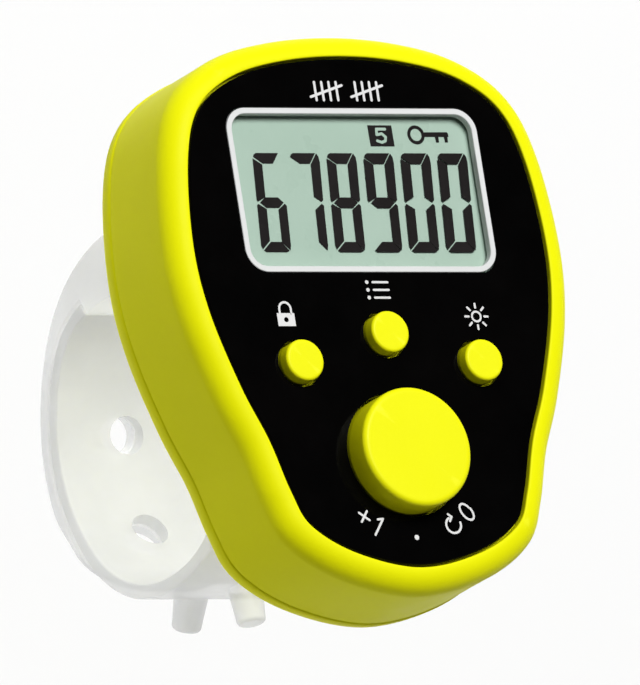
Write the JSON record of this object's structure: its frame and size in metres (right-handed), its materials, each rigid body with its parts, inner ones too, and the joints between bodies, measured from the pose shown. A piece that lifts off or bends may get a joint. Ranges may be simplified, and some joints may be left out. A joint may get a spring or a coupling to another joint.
{
  "type": "hand tally counter",
  "caption": "Finger-worn electronic tally counter: shield-shaped case with a display, round push buttons and a soft two-arm finger strap.",
  "frame": {"origin": "centre of the finger loop, on the finger's axis", "axes": "+Z out of the front panel, +Y towards the top of the display, +X to the right of the display and along the finger"},
  "size_m": [0.0342, 0.0433, 0.0426],
  "materials": {
    "yellow_abs": "semi-gloss moulded ABS",
    "yellow_button": "semi-gloss moulded ABS",
    "black_panel": "high gloss",
    "window_border": "printed light grey",
    "clear_window": "clear polished",
    "lcd_glass": "reflective grey-green display",
    "milk_white": "translucent white",
    "elastomer": "matt",
    "board_green": "solder mask over glass epoxy",
    "epoxy_black": "matt resin",
    "capacitor_tan": "moulded",
    "steel": "nickel plated",
    "contact_brass": "plated spring strip",
    "dome_rubber": "matt",
    "frosted_silicone": "frosted translucent"
  },
  "bodies": {
    "case": {"front_shell": "yellow_abs", "rear_shell": "yellow_abs", "front_panel": "black_panel", "window_bezel": "window_border", "lcd_window": "clear_window", "lcd_front_glass": "lcd_glass", "lcd_rear_glass": "lcd_glass", "light_guide": "milk_white", "lcd_holder": "milk_white", "zebra_connector": "elastomer", "circuit_board": "board_green", "controller_chip": "epoxy_black", "crystal": "steel", "capacitor": "capacitor_tan", "backlight_led_left": "milk_white", "backlight_led_right": "milk_white", "count_dome": "dome_rubber", "lock_dome": "dome_rubber", "channel_dome": "dome_rubber", "light_dome": "dome_rubber", "button_cell_left": "steel", "button_cell_right": "steel", "contact_positive": "contact_brass", "contact_negative": "contact_brass", "contact_bridge": "contact_brass", "case_screw_upper_left": "steel", "case_screw_upper_right": "steel", "case_screw_lower_left": "steel", "case_screw_lower_right": "steel", "strap_base": "frosted_silicone"},
    "count_button": {"count_button": "yellow_button"},
    "lock_button": {"lock_button": "yellow_button"},
    "channel_button": {"channel_button": "yellow_button"},
    "light_button": {"light_button": "yellow_button"},
    "strap_top_arm": {"strap_top_arm": "frosted_silicone"},
    "strap_bottom_arm": {"strap_bottom_arm": "frosted_silicone"}
  },
  "joints": [
    {"name": "count_press", "type": "slide", "parent": "case", "child": "count_button", "axis": [0, 0, -1], "range_m": [0, 0.0008], "stiffness_N_per_m": 900, "springref_m": -0.0004, "deforming": ["count_dome"]},
    {"name": "lock_press", "type": "slide", "parent": "case", "child": "lock_button", "axis": [0, 0, -1], "range_m": [0, 0.0005], "stiffness_N_per_m": 800, "springref_m": -0.0003, "deforming": ["lock_dome"]},
    {"name": "channel_press", "type": "slide", "parent": "case", "child": "channel_button", "axis": [0, 0, -1], "range_m": [0, 0.0005], "stiffness_N_per_m": 800, "springref_m": -0.0003, "deforming": ["channel_dome"]},
    {"name": "light_press", "type": "slide", "parent": "case", "child": "light_button", "axis": [0, 0, -1], "range_m": [0, 0.0005], "stiffness_N_per_m": 800, "springref_m": -0.0003, "deforming": ["light_dome"]},
    {"name": "top_arm_flex", "type": "hinge", "parent": "case", "child": "strap_top_arm", "pos_m": [0, 0.01028, 0.01226], "axis": [1, 0, 0], "range_deg": [0, 40], "stiffness_Nm_per_rad": 0.02, "springref_deg": -5.16},
    {"name": "bottom_arm_flex", "type": "hinge", "parent": "case", "child": "strap_bottom_arm", "pos_m": [0, -0.00803, 0.00958], "axis": [-1, 0, 0], "range_deg": [0, 4]}
  ],
  "couplings": [
    {"joint": "bottom_arm_flex", "follows": "top_arm_flex", "ratio": 0.1}
  ]
}
